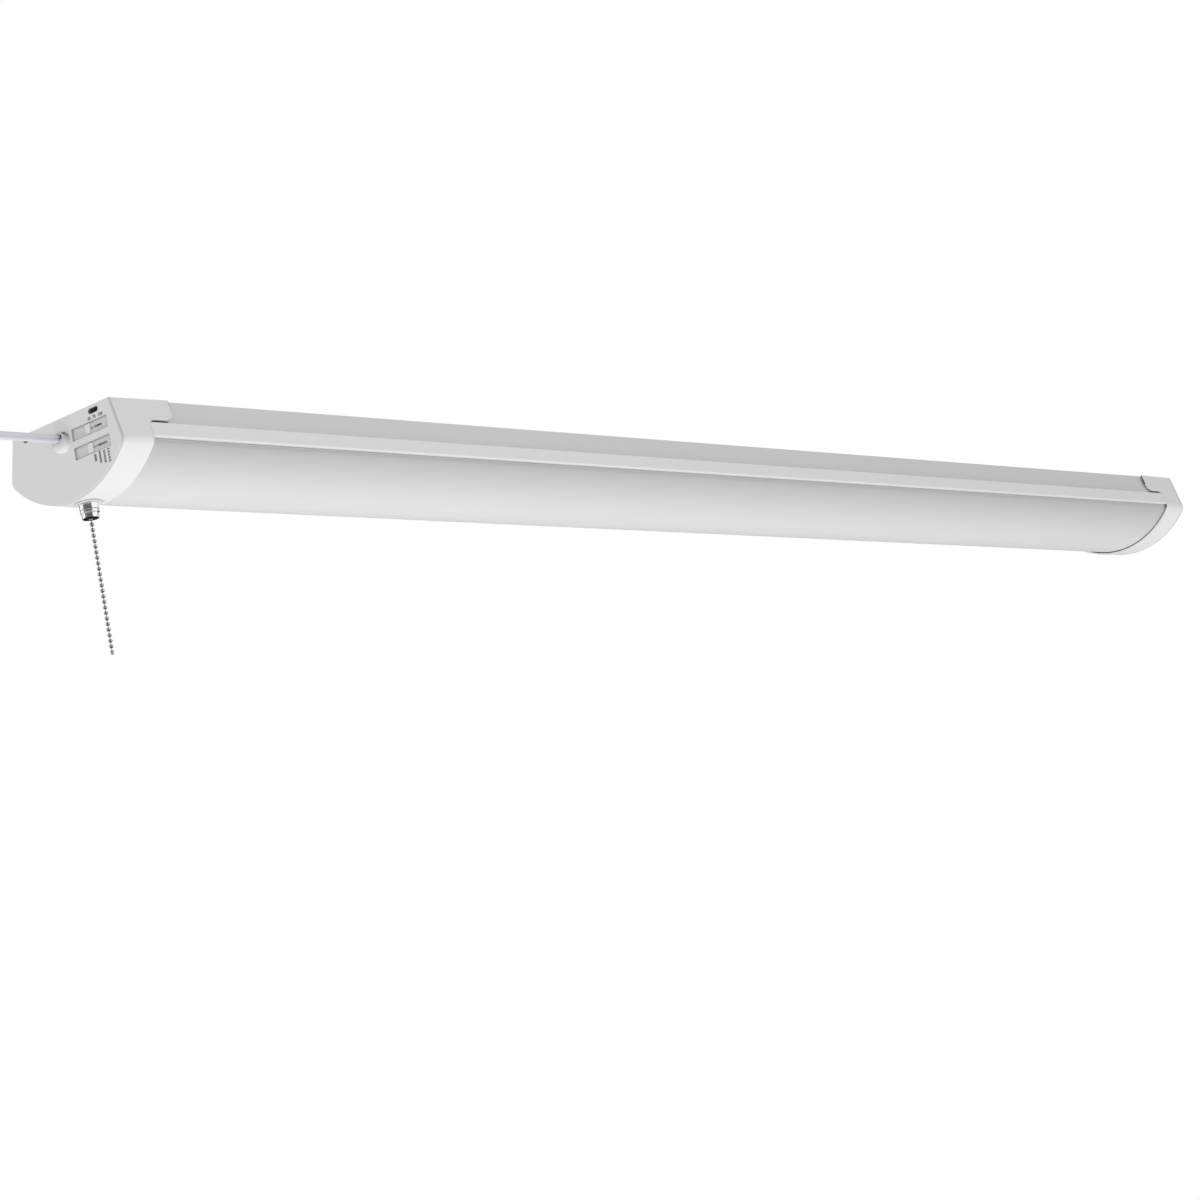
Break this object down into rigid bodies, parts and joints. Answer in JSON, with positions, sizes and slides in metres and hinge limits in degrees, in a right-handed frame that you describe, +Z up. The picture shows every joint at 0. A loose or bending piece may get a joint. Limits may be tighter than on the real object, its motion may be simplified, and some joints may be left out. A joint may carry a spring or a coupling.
{
  "type": "hanging shop light",
  "caption": "Long white hanging shop light with a bowed frosted diffuser, moulded end caps, slide switches in one end, a bead pull chain and a flat mains lead.",
  "frame": {"origin": "centre of the flat top of the housing, the face that goes against a ceiling", "axes": "+X along the lamp away from the switch end, +Y across it away from the switch windows, +Z up out of the top face"},
  "size_m": [1.355, 0.1234, 0.2033],
  "materials": {
    "white_enamel": "smooth white enamel",
    "white_moulding": "smooth satin moulding",
    "frosted_cover": "frosted, light-scattering",
    "zinc_steel": "bright zinc",
    "board_white": "white solder mask",
    "led_yellow": "phosphor under clear resin",
    "insulator_black": "black insulating sheet",
    "nylon_white": "natural nylon",
    "board_green": "green solder mask",
    "ferrite_grey": "dark ferrite",
    "capacitor_black": "dark sleeve",
    "nickel": "bright nickel plating",
    "spring_steel": "spring wire",
    "cord_white": "satin flexible sheath",
    "tie_black": "satin",
    "plug_white": "satin flexible moulding",
    "blade_brass": "bare",
    "lead_black": "satin sheath",
    "grommet_rubber": "matt"
  },
  "bodies": {
    "fixture": {"cable_grommet": "grommet_rubber", "chain_bell": "nickel", "coil_tie": "tie_black", "colour_switch_body": "white_moulding", "cord_bushing": "white_moulding", "cord_coil": "cord_white", "cord_tail": "cord_white", "diffuser": "frosted_cover", "driver_board": "board_green", "driver_capacitors": "capacitor_black", "driver_choke": "ferrite_grey", "driver_insulator": "insulator_black", "driver_screws": "zinc_steel", "driver_standoffs": "nylon_white", "driver_transformer": "ferrite_grey", "housing": "white_enamel", "housing_screws": "zinc_steel", "led_board_far": "board_white", "led_board_near": "board_white", "led_board_screws": "zinc_steel", "led_leads": "lead_black", "led_tray": "white_enamel", "leds_far": "led_yellow", "leds_near": "led_yellow", "left_end_cap": "white_moulding", "mains_leads": "lead_black", "plug_blades": "blade_brass", "plug_body": "plug_white", "power_cord": "cord_white", "power_switch_body": "white_moulding", "pull_spring": "spring_steel", "pull_switch_body": "insulator_black", "pull_switch_lid": "insulator_black", "pull_switch_nut": "nickel", "pull_switch_stem": "nickel", "right_end_cap": "white_moulding", "switch_board": "board_green", "switch_board_screws": "zinc_steel", "terminal_block": "nylon_white", "tray_screws": "zinc_steel"},
    "power_slider_body": {"power_slider": "white_moulding"},
    "colour_slider_body": {"colour_slider": "white_moulding"},
    "pull_rod_body": {"pull_rod": "nickel"},
    "chain_top": {"bead_chain_1": "nickel"},
    "chain_upper": {"bead_chain_2": "nickel"},
    "chain_lower": {"bead_chain_3": "nickel"},
    "chain_end": {"bead_chain_4": "nickel", "chain_tip": "nickel"}
  },
  "joints": [
    {"name": "power_slide", "type": "slide", "parent": "fixture", "child": "power_slider_body", "axis": [0, -1, 0], "range_m": [0, 0.011]},
    {"name": "colour_slide", "type": "slide", "parent": "fixture", "child": "colour_slider_body", "axis": [0, -1, 0], "range_m": [0, 0.0132]},
    {"name": "chain_pull", "type": "slide", "parent": "fixture", "child": "pull_rod_body", "axis": [0, 0, -1], "range_m": [0, 0.008], "stiffness_N_per_m": 500, "springref_m": -0.004, "deforming": ["pull_spring"]},
    {"name": "chain_swing_1", "type": "hinge", "parent": "pull_rod_body", "child": "chain_top", "pos_m": [-0.587, 0, -0.06267], "axis": [0, 1, 0], "range_deg": [-40, 40]},
    {"name": "chain_swing_2", "type": "hinge", "parent": "chain_top", "child": "chain_upper", "pos_m": [-0.587, 0, -0.08397], "axis": [1, 0, 0], "range_deg": [-60, 60]},
    {"name": "chain_swing_3", "type": "hinge", "parent": "chain_upper", "child": "chain_lower", "pos_m": [-0.587, 0, -0.10527], "axis": [0, 1, 0], "range_deg": [-60, 60]},
    {"name": "chain_swing_4", "type": "hinge", "parent": "chain_lower", "child": "chain_end", "pos_m": [-0.587, 0, -0.12657], "axis": [1, 0, 0], "range_deg": [-60, 60]}
  ]
}
